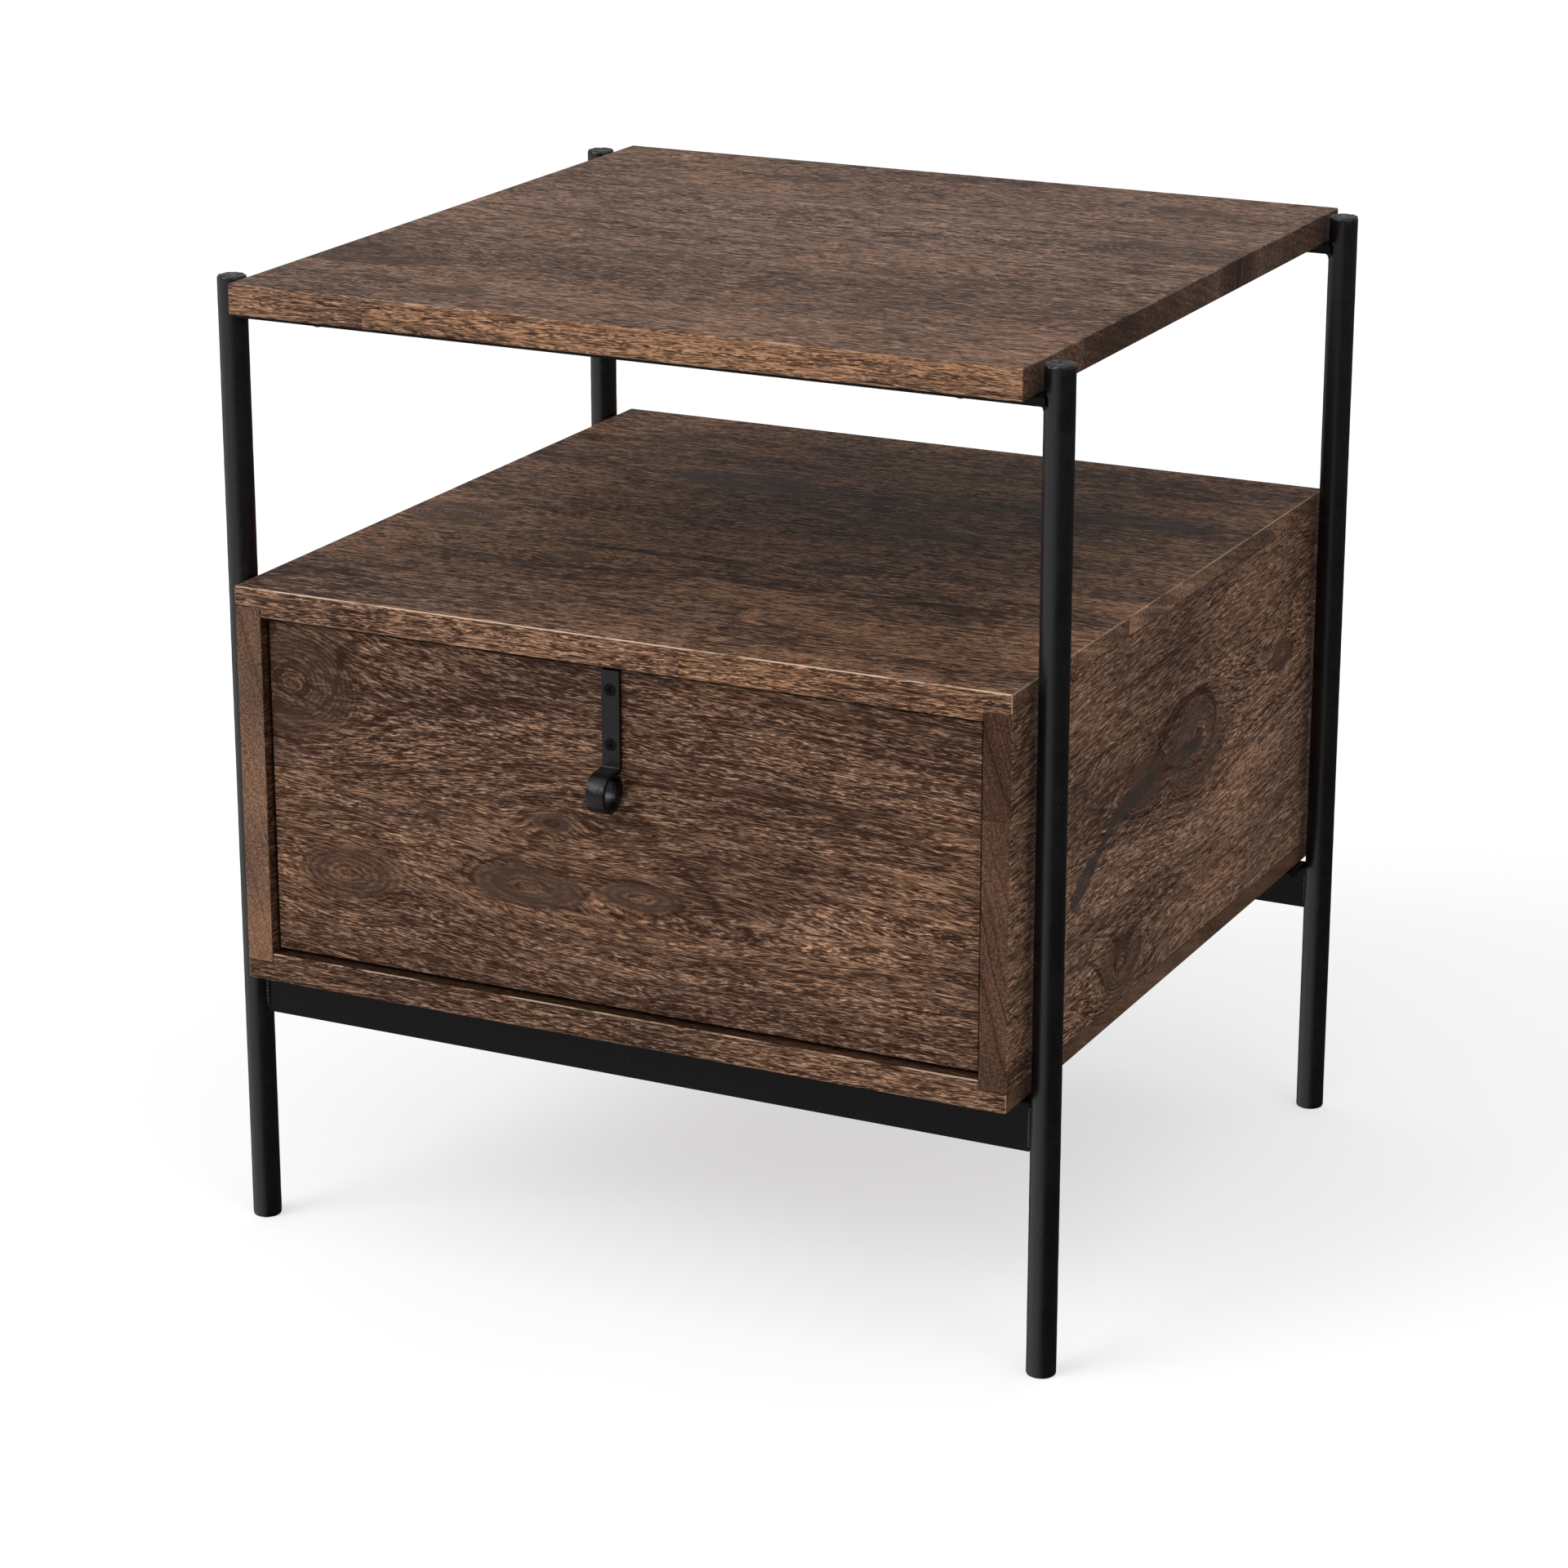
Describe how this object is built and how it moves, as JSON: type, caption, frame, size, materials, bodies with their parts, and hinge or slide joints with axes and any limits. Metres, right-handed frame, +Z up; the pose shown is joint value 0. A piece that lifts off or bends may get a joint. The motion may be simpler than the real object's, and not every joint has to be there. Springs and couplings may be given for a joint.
{
  "type": "side table with drawer",
  "caption": "Square wooden side table with an open shelf space over a drawer case, round black iron legs and a rolled iron strap pull.",
  "frame": {"origin": "on the floor, under the middle of the whole width and depth, the pull's loop included", "axes": "+X to the right seen from the front, +Y to the rear (the drawer opens towards -Y), +Z up"},
  "size_m": [0.55, 0.5332, 0.604],
  "materials": {
    "top_wood": "satin oiled",
    "case_panel_wood": "satin oiled",
    "case_side_wood": "satin oiled",
    "drawer_front_wood": "satin oiled",
    "drawer_box_wood": "matte",
    "panel_plywood": "matte",
    "black_iron": "satin black",
    "black_screws": "satin black",
    "pull_iron": "satin black",
    "zinc_steel": "bright zinc"
  },
  "bodies": {
    "frame": {"tabletop": "top_wood", "leg_front_left": "black_iron", "leg_front_right": "black_iron", "leg_rear_left": "black_iron", "leg_rear_right": "black_iron", "top_bar_front": "black_iron", "top_bar_rear": "black_iron", "case_rail_front": "black_iron", "case_rail_rear": "black_iron", "tabletop_screws": "black_screws", "case_screws": "black_screws", "case_top": "case_panel_wood", "case_bottom": "case_panel_wood", "case_left_side": "case_side_wood", "case_right_side": "case_side_wood", "case_back": "panel_plywood", "back_screws": "zinc_steel", "runner_case_left": "zinc_steel", "runner_case_right": "zinc_steel", "runner_case_screws": "zinc_steel"},
    "drawer": {"drawer_front": "drawer_front_wood", "drawer_left_side": "drawer_box_wood", "drawer_right_side": "drawer_box_wood", "drawer_box_front": "drawer_box_wood", "drawer_box_back": "drawer_box_wood", "drawer_bottom": "panel_plywood", "drawer_front_screws": "zinc_steel", "pull_strap": "pull_iron", "pull_screws": "black_screws", "runner_drawer_left": "zinc_steel", "runner_drawer_right": "zinc_steel", "runner_drawer_screws": "zinc_steel"},
    "middle_left": {"runner_middle_left": "zinc_steel"},
    "outer_race_left": {"outer_cage_left": "zinc_steel", "outer_balls_left": "zinc_steel"},
    "inner_race_left": {"inner_cage_left": "zinc_steel", "inner_balls_left": "zinc_steel"},
    "middle_right": {"runner_middle_right": "zinc_steel"},
    "outer_race_right": {"outer_cage_right": "zinc_steel", "outer_balls_right": "zinc_steel"},
    "inner_race_right": {"inner_cage_right": "zinc_steel", "inner_balls_right": "zinc_steel"}
  },
  "joints": [
    {"name": "drawer_slide", "type": "slide", "parent": "frame", "child": "drawer", "axis": [0, -1, 0], "range_m": [0, 0.43]},
    {"name": "middle_left_slide", "type": "slide", "parent": "frame", "child": "middle_left", "axis": [0, -1, 0], "range_m": [0, 0.2151]},
    {"name": "outer_race_left_slide", "type": "slide", "parent": "frame", "child": "outer_race_left", "axis": [0, -1, 0], "range_m": [0, 0.1076]},
    {"name": "inner_race_left_slide", "type": "slide", "parent": "frame", "child": "inner_race_left", "axis": [0, -1, 0], "range_m": [0, 0.3226]},
    {"name": "middle_right_slide", "type": "slide", "parent": "frame", "child": "middle_right", "axis": [0, -1, 0], "range_m": [0, 0.2151]},
    {"name": "outer_race_right_slide", "type": "slide", "parent": "frame", "child": "outer_race_right", "axis": [0, -1, 0], "range_m": [0, 0.1076]},
    {"name": "inner_race_right_slide", "type": "slide", "parent": "frame", "child": "inner_race_right", "axis": [0, -1, 0], "range_m": [0, 0.3226]}
  ],
  "couplings": [
    {"joint": "middle_left_slide", "follows": "drawer_slide", "ratio": 0.5},
    {"joint": "outer_race_left_slide", "follows": "drawer_slide", "ratio": 0.25},
    {"joint": "inner_race_left_slide", "follows": "drawer_slide", "ratio": 0.75},
    {"joint": "middle_right_slide", "follows": "drawer_slide", "ratio": 0.5},
    {"joint": "outer_race_right_slide", "follows": "drawer_slide", "ratio": 0.25},
    {"joint": "inner_race_right_slide", "follows": "drawer_slide", "ratio": 0.75}
  ]
}
